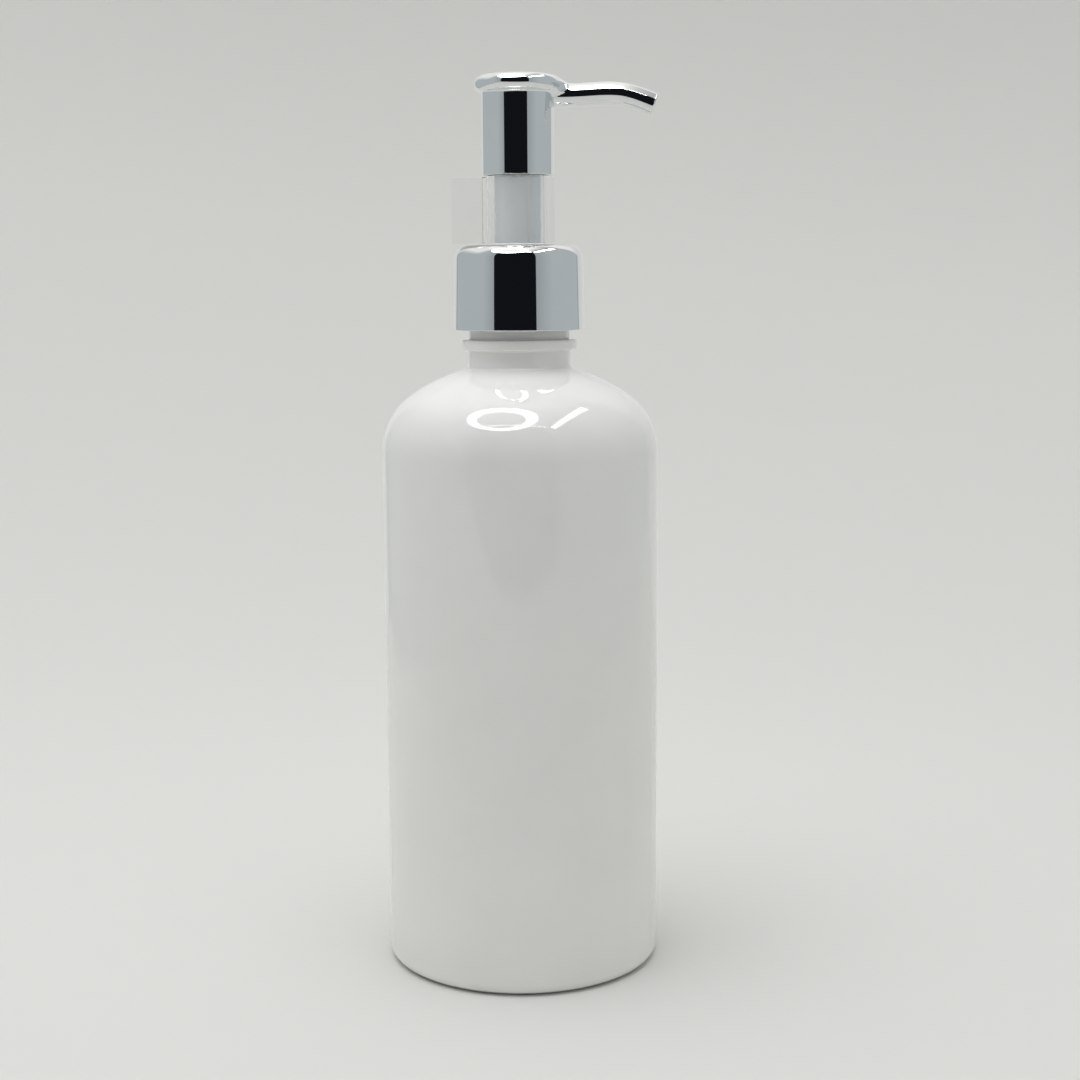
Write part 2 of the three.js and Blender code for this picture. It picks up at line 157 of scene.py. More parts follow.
# Meshes: edges that turn more than SHARP_TURN stay sharp in the shading, and the large turned
# pieces have FINE_SIDES.
SHARP_TURN = 35
FINE_SIDES = 256

# Noise scales of the materials, in cells per metre.
PLASTIC_CLOUD, PLASTIC_GLOSS = 60, 220
METAL_CLOUD, METAL_WIPE, METAL_RIPPLE = 90, 900, 700
CLEAR_CLOUD, CLEAR_GLOSS, CLEAR_RIPPLE = 120, 300, 260

# Studio, in metres from here on: a white tent, open at the front, seen from above.
TENT_FRONT_LEFT, TENT_FRONT_RIGHT = (-0.42, -0.44), (0.26, -0.44)
TENT_BACK_LEFT, TENT_BACK_RIGHT = (-0.26, 0.33), (0.42, 0.33)
TENT_HEIGHT = 0.75
OPENING_HEIGHT = 0.71
SEAM_HALF, SEAM_HEIGHT = 0.02, 0.28

# What the tent gives back, and where its walls and ceiling change from one strength to another.
SIDE_GLOW, BACK_GLOW, HIGH_GLOW = (0.48, 0.52, 0.54), (0.72, 0.725, 0.72), (0.98, 0.98, 0.96)
SEAM_GLOW = (0.36, 0.4, 0.42)
ROOM_GLOW = (0.0066, 0.0075, 0.0096)
CEILING_GLOW = (1, 1, 0.98)
WALL_RISE_BACK, WALL_RISE_HEIGHT, WALL_RISE_LEAN = (0.08, 0.18), (0.3, 0.44), 0.5
WALL_STRENGTH, WALL_FADE = (0.74, 1), (TENT_FRONT_LEFT[1], -0.17)
CEILING_STRENGTH, CEILING_FADE = (1.15, 0.4), (0.12, 0.3)
DIM_FRONT_STRENGTH = 0.27

# Lamps that the gloss sees.
LAMP_HEIGHT = 0.5
LAMP_GAP = 0.005
LAMP_STRENGTH = 11
RING_CENTRE, RING_OUTER, RING_INNER = (-0.092, -0.183), 0.18, 0.122
BAR_START, BAR_STOP, BAR_WIDTH = (0.203, -0.284), (0.233, 0.094), 0.045
STRIP_START, STRIP_STOP, STRIP_WIDTH = (-0.171, -0.25), (0.154, -0.278), 0.012

# Lamps that light the matt surfaces, in metres and watts.
OVERHEAD_PLACE, OVERHEAD_SIZE, OVERHEAD_POWER = (-0.15, -0.15, 1.25), 2.0, 7.4
NEAR_PLACE, NEAR_SIZE, NEAR_POWER = (-0.09, -0.1, 0.75), 0.6, 1.35
WORLD_COLOR, WORLD_STRENGTH = (1.0, 1.0, 0.985), 0.58

# Paper sweep: flat, then bent up into a wall; its colour darkens with height, and to the right, as
# painted shade.
SWEEP_FLAT, SWEEP_BEND, SWEEP_HEIGHT = 0.3, 0.9, 1.1
SWEEP_MIDDLE, SWEEP_DROP = 0.05, 0.0002
PAPER_LOW, PAPER_HIGH_SHADED = (0.728, 0.733, 0.716), (0.634, 0.639, 0.625)
PAPER_SHADE_FADE, PAPER_SHADE_LEAN = (0.17, 0.52), 0.15


# ---- outlines ----

def on_circle(centre, radius, angle):
    """The point of a circle at an angle."""
    turn = math.radians(angle)
    return (centre[0] + radius * math.cos(turn), centre[1] + radius * math.sin(turn))


def arc(centre, radius, start, stop, steps):
    """Points of an arc between two angles, both ends included."""
    return [on_circle(centre, radius, angle) for angle in np.linspace(start, stop, steps + 1)]


def turn_at(centre, radius, distance):
    """Angle at which a circle comes to a given distance from the axis."""
    return math.degrees(math.acos((distance - centre[0]) / radius))


def rounded(points, radius, steps=4, closed=True, least_turn=25, most_share=0.45):
    """The outline with its sharp corners replaced by small arcs.

    A corner that turns less than least_turn stays, and no arc takes more than most_share of a side.
    """
    made = []
    count = len(points)
    for i, here in enumerate(points):
        if not closed and i in (0, count - 1):
            made.append(here)
            continue
        before, after = Vector(points[i - 1]), Vector(points[(i + 1) % count])
        corner = Vector(here)
        back, ahead = before - corner, after - corner
        turn = math.pi - back.angle(ahead)
        if turn < math.radians(least_turn):
            made.append(here)
            continue
        shorter = min(back.length, ahead.length)
        reach = min(radius * math.tan(turn / 2), most_share * shorter)
        start = corner + back.normalized() * reach
        stop = corner + ahead.normalized() * reach
        for t in np.linspace(0, 1, steps + 1):
            blend = start * (1 - t) ** 2 + corner * 2 * t * (1 - t) + stop * t ** 2
            made.append((blend.x, blend.y))
    return made


# ---- meshes ----

def shade(mesh, sharp_turn=SHARP_TURN):
    """Smooth shading between sharp edges."""
    mesh.shade_smooth()
    mesh.set_sharp_from_angle(angle=math.radians(sharp_turn))


def new_piece(name, vertices, faces, sharp_turn=SHARP_TURN):
    """A smooth-shaded mesh object from millimetre vertices."""
    mesh = bpy.data.meshes.new(name)
    mesh.from_pydata([tuple(MM * float(c) for c in v) for v in vertices], [], faces)
    mesh.validate()
    shade(mesh, sharp_turn)
    piece = bpy.data.objects.new(name, mesh)
    bpy.context.scene.collection.objects.link(piece)
    return piece


def lathe(name, outline, sides=192):
    """Revolves (radius, z) points about Z.

    The outline closes on itself, or it starts and ends on the axis.
    """
    on_axis = outline[0][0] < 1e-6
    vertices, rings = [], []
    for r, z in outline:
        if r < 1e-6:
            rings.append([len(vertices)] * sides)
            vertices.append((0, 0, z))
            continue
        rings.append(list(range(len(vertices), len(vertices) + sides)))
        for i in range(sides):
            a = 2 * math.pi * i / sides
            vertices.append((r * math.cos(a), r * math.sin(a), z))
    pairs = list(zip(rings, rings[1:]))
    if not on_axis:
        pairs.append((rings[-1], rings[0]))
    faces = []
    for low, high in pairs:
        for i in range(sides):
            j = (i + 1) % sides
            face = [low[i], low[j], high[j], high[i]]
            faces.append(tuple(dict.fromkeys(face)))
    return new_piece(name, vertices, faces)


def apply_modifiers(piece):
    """Replaces the piece's mesh by what its modifiers make of it."""
    bpy.context.view_layer.update()
    graph = bpy.context.evaluated_depsgraph_get()
    made = bpy.data.meshes.new_from_object(piece.evaluated_get(graph))
    made.name = piece.data.name
    piece.modifiers.clear()
    piece.data = made
    return piece


def join(piece, other):
    """Joins another mesh to the piece as one solid, and removes the other."""
    modifier = piece.modifiers.new("join", "BOOLEAN")
    modifier.operation = "UNION"
    modifier.solver = "EXACT"
    modifier.object = other
    apply_modifiers(piece)
    bpy.data.objects.remove(other)
    shade(piece.data)
    return piece


def thread_ridge(name, turns, start_z, inner, outer, widths, sinks, steps_per_turn=96):
    """A rounded trapezoid ridge along a right-hand helix, thinner at its ends."""
    section = rounded([(0, -0.5), (1, -0.5), (1, 0.5), (0, 0.5)], THREAD_ROUND, 3)
    steps = round(turns * steps_per_turn)
    vertices = []
    for s in range(steps + 1):
        along = s / steps
        fade = min(1, along / THREAD_FADE, (1 - along) / THREAD_FADE)
        size = THREAD_LEAST + (1 - THREAD_LEAST) * fade
        angle = 2 * math.pi * turns * along
        for out, up in section:
            radius = inner + (outer - inner) * out * (size if sinks else 1)
            width = (widths[0] + (widths[1] - widths[0]) * out) * size
            z = start_z + THREAD_PITCH * turns * along + up * width
            vertices.append((radius * math.cos(angle), radius * math.sin(angle), z))
    n = len(section)
    faces = [tuple(range(n)), tuple(range(steps * n + n - 1, steps * n - 1, -1))]
    for s in range(steps):
        for i in range(n):
            j = (i + 1) % n
            faces.append((s * n + i, (s + 1) * n + i, (s + 1) * n + j, s * n + j))
    return new_piece(name, vertices, faces)


# ---- the turned pieces ----

def bottle_outline():
    """The bottle's section: up its outside from the middle of the base, and down its inside."""
    dome_radius = (FOOT_RADIUS ** 2 + PUSH_UP ** 2) / (2 * PUSH_UP)
    dome = (0, PUSH_UP - dome_radius)
    dome_edge = turn_at(dome, dome_radius, FOOT_RADIUS)
    lower = (BODY_RADIUS - SHOULDER_RADIUS, SHOULDER_Z)
    upper = on_circle(lower, SHOULDER_RADIUS - UPPER_RADIUS, SHOULDER_TURN)
    fillet_turn = turn_at(upper, UPPER_RADIUS + NECK_FILLET, NECK_RADIUS + NECK_FILLET)
    fillet = on_circle(upper, UPPER_RADIUS + NECK_FILLET, fillet_turn)
    bore_turn = turn_at(upper, UPPER_RADIUS - WALL, NECK_BORE)
    inner = BODY_RADIUS - WALL
    inner_corner = BASE_CORNER - BASE_WALL / 2
    outside = arc(dome, dome_radius, 90, dome_edge, 10)
    outside += arc((BODY_RADIUS - BASE_CORNER, BASE_CORNER), BASE_CORNER, -90, 0, 12)
    outside += [(BODY_RADIUS, z) for z in np.linspace(BASE_CORNER, SHOULDER_Z, 12)[1:-1]]
    outside += arc(lower, SHOULDER_RADIUS, 0, SHOULDER_TURN, 24)
    outside += arc(upper, UPPER_RADIUS, SHOULDER_TURN, fillet_turn, 16)[1:]
    outside += arc(fillet, NECK_FILLET, 180 + fillet_turn, 180, 8)[1:]
    neck = [
        outside[-1],
        (NECK_RADIUS, BEAD_BOTTOM),
        (BEAD_RADIUS, BEAD_BOTTOM),
        (BEAD_RADIUS, BEAD_TOP),
        (FINISH_RADIUS, BEAD_TOP),
        (FINISH_RADIUS, RIM_Z),
        (NECK_BORE, RIM_Z),
        on_circle(upper, UPPER_RADIUS - WALL, bore_turn),
    ]
    inside = arc(upper, UPPER_RADIUS - WALL, bore_turn, SHOULDER_TURN, 8)
    inside += arc(lower, SHOULDER_RADIUS - WALL, SHOULDER_TURN, 0, 12)[1:]
    inside += arc((inner - inner_corner, BASE_WALL + inner_corner), inner_corner, 0, -90, 6)
    inside += arc(dome, dome_radius + BASE_WALL, dome_edge, 90, 8)
    return outside + rounded(neck, NECK_EDGE, 5, closed=False)[1:-1] + inside


def make_bottle():
    piece = lathe("bottle_body", bottle_outline(), FINE_SIDES)
    return join(piece, thread_ridge("neck_ridge", **NECK_THREAD))


def make_closure_shell():
    low, top = SHELL_LOW.z, SHELL_HIGH.z
    radius = SHELL_HIGH.x
    centre = (SHELL_UPPER_RADIUS - SHELL_EDGE, top - SHELL_EDGE)
    outline = [(radius - SHELL_WALL, low), (radius, low)]
    outline += arc(centre, SHELL_EDGE, 0, 90, 14)
    outline += [(SHELL_HOLE, top), (SHELL_HOLE, top - SHELL_WALL)]
    outline += arc(centre, SHELL_EDGE - SHELL_WALL, 90, 0, 8)
    return lathe("closure_metal_shell", rounded(outline, SHELL_LIP, 4), FINE_SIDES)


def make_closure_cap():
    low, top = CAP_LOW.z, CAP_HIGH.z
    outline = [(CAP_BORE, low), (CAP_RADIUS, low)]
    outline += arc((CAP_RADIUS - CAP_EDGE, top - CAP_EDGE), CAP_EDGE, 0, 90, 10)
    outline += [(CAP_HOLE, top), (CAP_HOLE, CAP_PLATE_Z), (CAP_BORE, CAP_PLATE_Z)]
    piece = lathe("closure_inner_cap", rounded(outline, CAP_LIP, 4))
    return join(piece, thread_ridge("cap_ridge", **CAP_THREAD))


def make_collar():
    low, top = COLLAR_LOW.z, COLLAR_HIGH.z
    outline = [
        (COLLAR_BORE, low),
        (COLLAR_RADIUS, low),
        (COLLAR_RADIUS, COLLAR_FLANGE_Z),
        (COLLAR_FLANGE_RADIUS, COLLAR_FLANGE_Z),
        (COLLAR_FLANGE_RADIUS, top),
        (COLLAR_BORE, top),
    ]
    return lathe("pump_collar", rounded(outline, COLLAR_LIP, 3))


def make_stem():
    low, top = STEM_LOW.z, STEM_HIGH.z
    outline = [
        (STEM_BORE, low),
        (STEM_FOOT_RADIUS, low),
        (STEM_FOOT_RADIUS, STEM_STOP_LOW),
        (STEM_STOP_RADIUS, STEM_STOP_LOW),
        (STEM_STOP_RADIUS, STEM_STOP_HIGH),
        (STEM_RADIUS, STEM_STOP_HIGH),
        (STEM_RADIUS, STEM_NOSE_Z),
        (STEM_NOSE_RADIUS, STEM_NOSE_Z),
        (STEM_NOSE_RADIUS, top),
        (STEM_BORE, top),
    ]
    return lathe("pump_stem", rounded(outline, STEM_LIP, 3))


# ---- the spring ----

def tube(name, line, radius, sides=12):
    """A round wire along a line of points, with flat ends."""
    points = [Vector(p) for p in line]
    vertices, faces = [], []
    for i, here in enumerate(points):
        along = (points[min(i + 1, len(points) - 1)] - points[max(i - 1, 0)]).normalized()
        out = Vector((here.x, here.y, 0)).normalized()
        out = (out - along * out.dot(along)).normalized()
        up = along.cross(out)
        for k in range(sides):
            a = 2 * math.pi * k / sides
            vertices.append(here + radius * (math.cos(a) * out + math.sin(a) * up))
    for i in range(len(points) - 1):
        for k in range(sides):
            j = (k + 1) % sides
            faces.append((i * sides + k, i * sides + j, (i + 1) * sides + j, (i + 1) * sides + k))
    last = (len(points) - 1) * sides
    faces += [tuple(reversed(range(sides))), tuple(range(last, last + sides))]
    return new_piece(name, vertices, faces)


def make_spring(steps_per_turn=48):
    """A compression spring: close end turns, and open turns of equal pitch between."""
    low, high = SPRING_LOW.z + SPRING_WIRE, SPRING_HIGH.z - SPRING_WIRE
    close_pitch = SPRING_CLOSE_PITCH * SPRING_WIRE
    open_turns = SPRING_TURNS - 2 * SPRING_DEAD
    open_pitch = (high - low - 2 * SPRING_DEAD * close_pitch) / open_turns
    line = []
    for i in range(round(SPRING_TURNS * steps_per_turn) + 1):
        turn = i / steps_per_turn
        opened = min(max(turn - SPRING_DEAD, 0), open_turns)
        a = 2 * math.pi * turn
        z = low + close_pitch * (turn - opened) + open_pitch * opened
        line.append((SPRING_RADIUS * math.cos(a), SPRING_RADIUS * math.sin(a), z))
    return tube("pump_spring", line, SPRING_WIRE)


# ---- the head, as one smooth implicit surface ----

def spline(xs, ys):
    """A natural cubic spline through the points, as a function that also gives its slope."""
    n, h = len(xs), np.diff(xs)
    matrix, right = np.eye(n), np.zeros(n)
    for i in range(1, n - 1):
        matrix[i, i - 1:i + 2] = h[i - 1], 2 * (h[i - 1] + h[i]), h[i]
        right[i] = 6 * ((ys[i + 1] - ys[i]) / h[i] - (ys[i] - ys[i - 1]) / h[i - 1])
    bend = np.linalg.solve(matrix, right)

    def value(x):
        i = np.clip(np.searchsorted(xs, x) - 1, 0, n - 2)
        t = x - xs[i]
        slope = (ys[i + 1] - ys[i]) / h[i] - h[i] * (2 * bend[i] + bend[i + 1]) / 6
        climb = (bend[i + 1] - bend[i]) / h[i]
        height = ys[i] + slope * t + bend[i] * t ** 2 / 2 + climb * t ** 3 / 6
        return height, slope + bend[i] * t + climb * t ** 2 / 2

    return value


SPOUT_LINE = spline(SPOUT_X, SPOUT_Z)


def smooth_min(a, b, width):
    """The smaller of two fields, with a fillet where they meet."""
    share = np.clip(0.5 + 0.5 * (b - a) / width, 0, 1)
    return b * (1 - share) + a * share - width * share * (1 - share)


def smooth_max(a, b, width):
    """The larger of two fields, with a round where they meet."""
    return -smooth_min(-a, -b, width)


def upright_cylinder(r, z, radius, low, high):
    """Signed distance to a solid of revolution of one radius."""
    across, along = r - radius, np.maximum(low - z, z - high)
    outside = np.hypot(np.maximum(across, 0), np.maximum(along, 0))
    return outside + np.minimum(np.maximum(across, along), 0)


def spout_distance(x, y, z):
    """Distance to the spout's centre line, and how far a point lies past its tip."""
    foot = np.clip(x, SPOUT_X[0], SPOUT_X[-1])
    for _ in range(4):
        height, slope = SPOUT_LINE(foot)
        step = ((x - foot) + (z - height) * slope) / (1 + slope ** 2)
        foot = np.clip(foot + step, SPOUT_X[0], SPOUT_X[-1])
    height, _ = SPOUT_LINE(foot)
    tip_z, tip_slope = SPOUT_LINE(SPOUT_X[-1:])
    along = np.array([1, tip_slope[0]]) / math.hypot(1, tip_slope[0])
    past = (x - SPOUT_X[-1]) * along[0] + (z - tip_z[0]) * along[1]
    side = np.hypot(x - foot, z - height)
    ahead = past > 0
    side = np.where(ahead, np.abs(-(x - SPOUT_X[-1]) * along[1] + (z - tip_z[0]) * along[0]), side)
    return np.hypot(side, y), past


def head_field(x, y, z):
    """Below zero inside the head."""
    r = np.hypot(x, y)
    skirt = upright_cylinder(
        r, z, SKIRT_RADIUS - SKIRT_EDGE, HEAD_LOW.z + SKIRT_EDGE, RIM_DISC_Z,
    ) - SKIRT_EDGE
    crown = HEAD_HIGH.z - RIM_DISC_Z - RIM_ROUND
    lift = crown * np.clip(1 - (r / RIM_DISC_RADIUS) ** 2, 0, 1)
    height = z - RIM_DISC_Z
    height = np.where(height > 0, height * RIM_ROUND / (RIM_ROUND + lift), height)
    rim = np.hypot(np.maximum(r - RIM_DISC_RADIUS, 0), height) - RIM_ROUND
    line, past = spout_distance(x, y, z)
    spout = smooth_max(line - SPOUT_RADIUS, past, TIP_BLEND)
    above = np.clip(z - SPOUT_Z[0] + 0.5, 0, 1)
    root = ROOT_BLEND[0] + (ROOT_BLEND[1] - ROOT_BLEND[0]) * above
    body = smooth_min(smooth_min(skirt, rim, RIM_BLEND), spout, root)
    hollow = upright_cylinder(r, z, SKIRT_BORE, 0, ROOF_Z)
    chamber = upright_cylinder(r, z, CHAMBER_RADIUS, 0, CHAMBER_TOP)
    bore = np.maximum(line - SPOUT_BORE, SPOUT_X[0] - x)
    shell = smooth_max(body, -np.minimum(hollow, chamber), HOLLOW_BLEND)
    return smooth_max(shell, -bore, BORE_BLEND)


def surface_net(values):
    """Where a grid of values crosses zero: the surface's vertices in grid units, and its quads."""
    cells = tuple(n - 1 for n in values.shape)
    total, count = np.zeros(cells + (3,)), np.zeros(cells)

    def corner(offset):
        return values[tuple(slice(o, o + c) for o, c in zip(offset, cells))]

    for axis in range(3):
        for a in (0, 1):
            for b in (0, 1):
                start = np.insert(np.array([a, b]), axis, 0)
                stop = start + np.eye(3, dtype=int)[axis]
                first, last = corner(start), corner(stop)
                crosses = (first < 0) != (last < 0)
                share = np.where(crosses, first / np.where(crosses, first - last, 1), 0)
                for k in range(3):
                    total[..., k] += crosses * (start[k] + (share if k == axis else 0))
                count += crosses
    used = count > 0
    number = np.full(cells, -1)
    number[used] = np.arange(used.sum())
    vertices = np.argwhere(used) + total[used] / count[used][:, None]
    quads = []
    for axis in range(3):
        u, v = (axis + 1) % 3, (axis + 2) % 3
        inside = [slice(1, -1)] * 3
        inside[axis] = slice(0, -1)
        first = values[tuple(inside)]
        inside[axis] = slice(1, None)
        last = values[tuple(inside)]
        for rising in (False, True):
            found = (first >= 0) & (last < 0) if rising else (first < 0) & (last >= 0)
            at = np.argwhere(found)
            ring = []
            for du, dv in ((0, 0), (1, 0), (1, 1), (0, 1)):
                cell = at.copy()
                cell[:, u] += du
                cell[:, v] += dv
                ring.append(number[tuple(cell.T)])
            ring = ring[::-1] if rising else ring
            quads.append(np.stack(ring, 1))
    return vertices, np.concatenate(quads)


def gradient(field, points, step=0.01):
    """The slope of a field at each point."""
    made = np.zeros_like(points)
    for k in range(3):
        shift = np.zeros(3)
        shift[k] = step
        made[:, k] = (field(*(points + shift).T) - field(*(points - shift).T)) / (2 * step)
    return made


def make_head():
    """Meshes the head's field, then moves each vertex on to the true surface."""
    margin = 2 * HEAD_GRID
    low, high = np.array(HEAD_LOW) - margin, np.array(HEAD_HIGH) + margin
    axes = [np.arange(a, b, HEAD_GRID) for a, b in zip(low, high)]
    grid = np.meshgrid(*axes, indexing="ij")
    values = head_field(*(g.ravel() for g in grid)).reshape(grid[0].shape)
    vertices, quads = surface_net(values)
    points = low + HEAD_GRID * vertices
    for _ in range(4):
        slope = gradient(head_field, points)
        size = np.maximum((slope ** 2).sum(1), 0.05)
        move = head_field(*points.T) / size
        points -= np.clip(move, -HEAD_GRID / 2, HEAD_GRID / 2)[:, None] * slope
    piece = new_piece("pump_head", points, quads.tolist(), 180)
    normals = gradient(head_field, points)
    normals /= np.maximum(np.linalg.norm(normals, axis=1), 1e-9)[:, None]
    piece.data.normals_split_custom_set_from_vertices([tuple(n) for n in normals])
    return piece


# ---- the clip ----

def clip_outline():
    """The clip seen from above, anticlockwise from its tab."""
    tab_foot = 180 - math.degrees(math.asin(CLIP_TAB_HALF / CLIP_RADIUS))
    rib_turn = math.degrees(math.asin(CLIP_RIB_HALF / CLIP_BORE))
    rib_tip = math.degrees(math.asin(CLIP_RIB_HALF / CLIP_RIB_REACH))
    half = [(-CLIP_TAB_REACH, CLIP_TAB_HALF)]
    half += arc((0, 0), CLIP_RADIUS, tab_foot, CLIP_MOUTH, 48)
    half += arc((CLIP_LIP_X, CLIP_LIP_Y), CLIP_LIP_ROUND, CLIP_LIP_START, CLIP_LIP_STOP, 12)
    half += arc((0, 0), CLIP_BORE, CLIP_MOUTH - CLIP_LIP_STEP, CLIP_RIB_SIDE - rib_turn, 10)
    half += arc((0, 0), CLIP_RIB_REACH, CLIP_RIB_SIDE - rib_tip, CLIP_RIB_SIDE + rib_tip, 2)
    half += arc((0, 0), CLIP_BORE, CLIP_RIB_SIDE + rib_turn, 180 - rib_turn, 36)
    half += [(-CLIP_RIB_REACH, CLIP_RIB_HALF)]
    return half + [(x, -y) for x, y in reversed(half)]


def make_clip():
    outline = clip_outline()
    n = len(outline)
    low, high = CLIP_LOW.z, CLIP_HIGH.z
    vertices = [(x, y, z) for z in (low, high) for x, y in outline]
    faces = [tuple(range(n)), tuple(range(2 * n - 1, n - 1, -1))]
    faces += [(i, n + i, n + (i + 1) % n, (i + 1) % n) for i in range(n)]
    piece = new_piece("lock_clip_clear", vertices, faces)
    edge = piece.modifiers.new("edge", "BEVEL")
    edge.width = CLIP_EDGE * MM
    edge.segments = 3
    edge.limit_method = "ANGLE"
    edge.angle_limit = math.radians(CLIP_BEVEL_TURN)
    apply_modifiers(piece)
    shade(piece.data, CLIP_SHARP_TURN)
    return piece


# ---- materials ----

def shader(name, **sockets):
    """A Principled material with the given socket values, and its node tree."""
    made = bpy.data.materials.new(name)
    made.use_nodes = True
    principled = made.node_tree.nodes["Principled BSDF"]
    for key, value in sockets.items():
        principled.inputs[key.replace("_", " ")].default_value = value
    return made, made.node_tree, principled


def noise(tree, scale, detail=3, stretch=(1, 1, 1)):
    """A noise texture in the piece's own metres."""
    place = tree.nodes.new("ShaderNodeTexCoord")
    mapping = tree.nodes.new("ShaderNodeMapping")
    mapping.inputs["Scale"].default_value = stretch
    texture = tree.nodes.new("ShaderNodeTexNoise")
    texture.inputs["Scale"].default_value = scale
    texture.inputs["Detail"].default_value = detail
    tree.links.new(place.outputs["Object"], mapping.inputs["Vector"])
    tree.links.new(mapping.outputs["Vector"], texture.inputs["Vector"])
    return texture.outputs["Fac"]


def spread(tree, source, made, given=(0.3, 0.7)):
    """Maps a value from the given range, a noise's own unless stated, on to the one to be made."""
    node = tree.nodes.new("ShaderNodeMapRange")
    node.inputs["From Min"].default_value = given[0]
    node.inputs["From Max"].default_value = given[1]
    node.inputs["To Min"].default_value = made[0]
    node.inputs["To Max"].default_value = made[1]
    tree.links.new(source, node.inputs["Value"])
    return node.outputs["Result"]


def tint(tree, source, dark, light):
    """Mixes two colours by a 0 to 1 value."""
    node = tree.nodes.new("ShaderNodeMix")
    node.data_type = "RGBA"
    node.inputs["A"].default_value = (*dark, 1)
    node.inputs["B"].default_value = (*light, 1)
    tree.links.new(source, node.inputs["Factor"])
    return node.outputs["Result"]


def bump(tree, principled, source, depth):
    """Raises the surface by up to a depth in millimetres."""
    node = tree.nodes.new("ShaderNodeBump")
    node.inputs["Strength"].default_value = 1
    node.inputs["Distance"].default_value = depth * MM
    tree.links.new(source, node.inputs["Height"])
    tree.links.new(node.outputs["Normal"], principled.inputs["Normal"])


def plastic(name, dark, light, rough, grain=2500, depth=0.002, **sockets):
    """Moulded plastic: cloudy colour, uneven gloss and a fine skin."""
    made, tree, principled = shader(name, **sockets)
    cloud = spread(tree, noise(tree, PLASTIC_CLOUD, 4), (0, 1))
    tree.links.new(tint(tree, cloud, dark, light), principled.inputs["Base Color"])
    gloss = spread(tree, noise(tree, PLASTIC_GLOSS, 5), rough)
    tree.links.new(gloss, principled.inputs["Roughness"])
    bump(tree, principled, noise(tree, grain, 2), depth)
    return made


def metal(name, dark, light, rough, depth=0.0004, stretch=(1, 1, 1)):
    """Polished metal with faint wiping marks."""
    made, tree, principled = shader(name, Metallic=1.0)
    cloud = spread(tree, noise(tree, METAL_CLOUD, 3), (0, 1))
    tree.links.new(tint(tree, cloud, dark, light), principled.inputs["Base Color"])
    wipe = spread(tree, noise(tree, METAL_WIPE, 6, stretch), rough)
    tree.links.new(wipe, principled.inputs["Roughness"])
    bump(tree, principled, noise(tree, METAL_RIPPLE, 3), depth)
    return made


def clear_plastic(name, dark, light, rough, depth, **sockets):
    """Thin clear plastic: it hardly bends what is seen through it, and shines like a solid one."""
    made, tree, principled = shader(name, Transmission_Weight=1.0, **sockets)
    cloud = spread(tree, noise(tree, CLEAR_CLOUD, 3), (0, 1))
    tree.links.new(tint(tree, cloud, dark, light), principled.inputs["Base Color"])
    gloss = spread(tree, noise(tree, CLEAR_GLOSS, 4), rough)
    tree.links.new(gloss, principled.inputs["Roughness"])
    bump(tree, principled, noise(tree, CLEAR_RIPPLE, 2), depth)
    return made


BOTTLE_SKIN = plastic(
    "bottle_skin",
    dark=(0.83, 0.835, 0.82),
    light=(0.855, 0.86, 0.845),
    rough=(0.03, 0.06),
    grain=1500,
    depth=0.001,
)
CHROME = metal(
    "chrome", dark=(0.75, 0.765, 0.765), light=(0.78, 0.79, 0.785), rough=(0.015, 0.035),
)
WHITE_PLASTIC = plastic(
    "white_plastic", dark=(0.78, 0.79, 0.78), light=(0.84, 0.85, 0.84), rough=(0.25, 0.4),
)
# Painted shade: the stem is white plastic, given here a darker, bluish, part-metallic copy so that
# it looks shaded under the head.
SHADED_STEM_PLASTIC = plastic(
    "stem_plastic_painted_shade",
    dark=(0.68, 0.71, 0.73),
    light=(0.72, 0.75, 0.77),
    rough=(0.02, 0.05),
    Metallic=0.58,
)
NATURAL_PLASTIC = plastic(
    "natural_plastic", dark=(0.72, 0.72, 0.67), light=(0.8, 0.8, 0.76), rough=(0.3, 0.45),
)
SPRING_STEEL = metal(
    "spring_steel",
    dark=(0.5, 0.5, 0.51),
    light=(0.62, 0.62, 0.63),
    rough=(0.2, 0.35),
    depth=0.002,
    stretch=(1, 1, 8),
)
FOAM = plastic(
    "foam_liner",
    dark=(0.74, 0.73, 0.7),
    light=(0.82, 0.81, 0.78),
    rough=(0.8, 0.95),
    grain=3500,
    depth=0.05,
)
CLEAR = clear_plastic(
    "clear_plastic",
    dark=(0.97, 0.975, 0.975),
    light=(0.99, 0.99, 0.99),
    rough=(0.02, 0.06),
    depth=0.004,
    IOR=1.06,
    Coat_Weight=0.7,
    Coat_IOR=1.5,
    Coat_Roughness=0.04,
)


# ---- the object ----

def dress(piece, material, body, slot, *nodes):
    """Gives a piece its material and body, and hides the CAD nodes that it stands for. The record
    slot is not used.
    """
    piece.data.materials.clear()
    piece.data.materials.append(material)
    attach(piece, body)
    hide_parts(*nodes)
    return piece


def keep_node(node, material):
    """A CAD node that shows as it is, smooth-shaded between its sharp edges, with its own material.
    """
    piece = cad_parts[node]
    piece.data.materials.clear()
    piece.data.materials.append(material)
    shade(piece.data)


dress(make_bottle(), BOTTLE_SKIN, "bottle", "bottle_plastic", "bottle")
dress(make_closure_shell(), CHROME, "closure", "chrome", "closure_shell")
dress(make_closure_cap(), WHITE_PLASTIC, "closure", "white_plastic", "closure_cap")
dress(make_collar(), WHITE_PLASTIC, "pump_body", "white_plastic", "housing_collar")
dress(make_stem(), SHADED_STEM_PLASTIC, "plunger", "white_plastic", "stem")
dress(make_head(), CHROME, "plunger", "chrome", "actuator_head")
clip = dress(make_clip(), CLEAR, "clip", "clear_plastic", "lock_clip")
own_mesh(clip)

spring = dress(make_spring(), SPRING_STEEL, "spring", "spring_steel", "return_spring")
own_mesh(spring)

